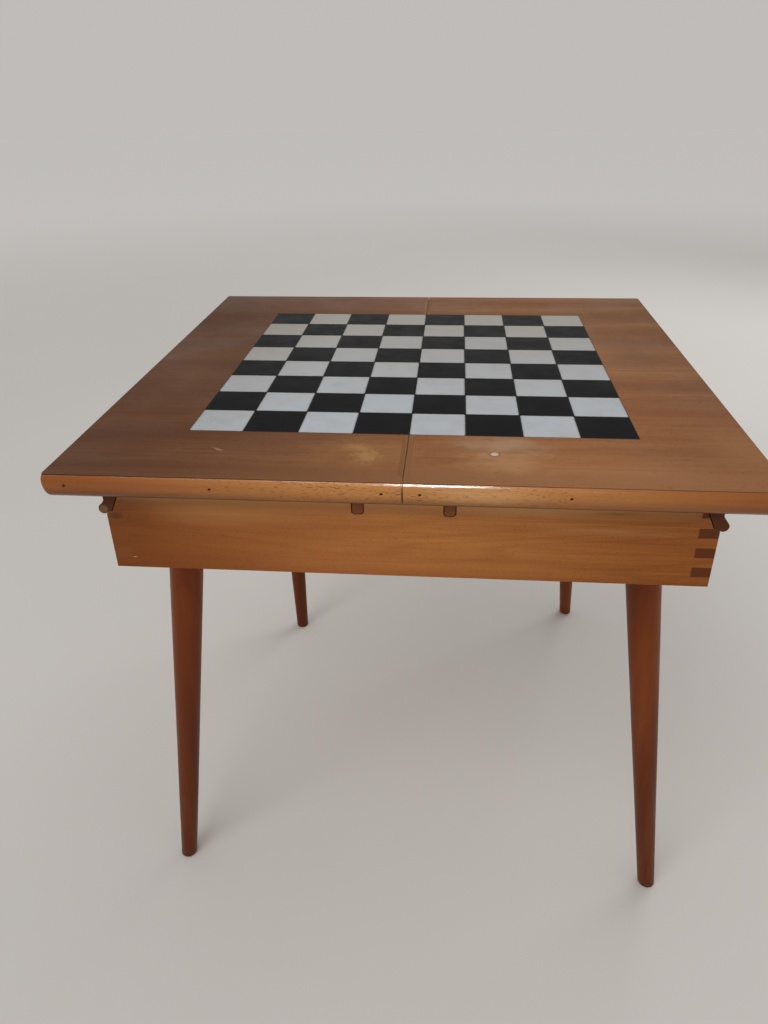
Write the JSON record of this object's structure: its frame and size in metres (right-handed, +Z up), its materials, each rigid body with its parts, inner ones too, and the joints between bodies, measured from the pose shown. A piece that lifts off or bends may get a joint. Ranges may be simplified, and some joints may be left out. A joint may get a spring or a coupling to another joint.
{
  "type": "chess table",
  "caption": "Square games table: a chessboard top split into hinged leaves over a finger-jointed wooden storage box on splayed tapered legs.",
  "frame": {"origin": "on the floor, under the centre of the board", "axes": "+Z up, +X to the right of the player in front, +Y away from that player; the seam between the leaves lies in the plane X = 0"},
  "size_m": [0.592, 0.592, 0.535],
  "materials": {
    "beech_front": "satin varnish",
    "beech_edging": "gloss varnish",
    "beech_hinge": "satin varnish",
    "beech_leg": "satin varnish",
    "beech_plain": "raw",
    "blockboard": "raw",
    "plywood": "raw",
    "top_veneer": "satin varnish",
    "board_black": "enamel paint under varnish",
    "board_white": "enamel paint under varnish",
    "steel": "plain",
    "zinc": "zinc plated"
  },
  "bodies": {
    "box": {"front_panel": "beech_front", "back_panel": "beech_front", "bottom_panel": "plywood", "front_left_bolt": "zinc", "front_left_leg_block": "beech_plain", "front_left_leg": "beech_leg", "front_right_bolt": "zinc", "front_right_leg_block": "beech_plain", "front_right_leg": "beech_leg", "rear_left_bolt": "zinc", "rear_left_leg_block": "beech_plain", "rear_left_leg": "beech_leg", "rear_right_bolt": "zinc", "rear_right_leg_block": "beech_plain", "rear_right_leg": "beech_leg", "left_end_panel": "beech_front", "left_wall_knuckle_front": "beech_hinge", "left_wall_knuckle_rear": "beech_hinge", "left_hinge_pin": "steel", "right_end_panel": "beech_front", "right_wall_knuckle_front": "beech_hinge", "right_wall_knuckle_rear": "beech_hinge", "right_hinge_pin": "steel"},
    "left_leaf": {"left_leaf_knuckle_front": "beech_hinge", "left_leaf_knuckle_middle": "beech_hinge", "left_leaf_knuckle_rear": "beech_hinge", "left_leaf_core": "blockboard", "left_seam_lipping": "beech_edging", "left_front_edging": "beech_edging", "left_back_edging": "beech_edging", "left_end_edging": "beech_edging", "left_top_veneer": "top_veneer", "left_board_dark_field": "board_black", "left_board_light_squares": "board_white", "left_rest_bar": "beech_plain"},
    "right_leaf": {"right_leaf_knuckle_front": "beech_hinge", "right_leaf_knuckle_middle": "beech_hinge", "right_leaf_knuckle_rear": "beech_hinge", "right_leaf_core": "blockboard", "right_seam_lipping": "beech_edging", "right_front_edging": "beech_edging", "right_back_edging": "beech_edging", "right_end_edging": "beech_edging", "right_top_veneer": "top_veneer", "right_board_dark_field": "board_black", "right_board_light_squares": "board_white", "right_rest_bar": "beech_plain"}
  },
  "joints": [
    {"name": "left_leaf_hinge", "type": "hinge", "parent": "box", "child": "left_leaf", "pos_m": [-0.2544, 0, 0.496], "axis": [0, -1, 0], "range_deg": [0, 118]},
    {"name": "right_leaf_hinge", "type": "hinge", "parent": "box", "child": "right_leaf", "pos_m": [0.2544, 0, 0.496], "axis": [0, 1, 0], "range_deg": [0, 118]}
  ]
}
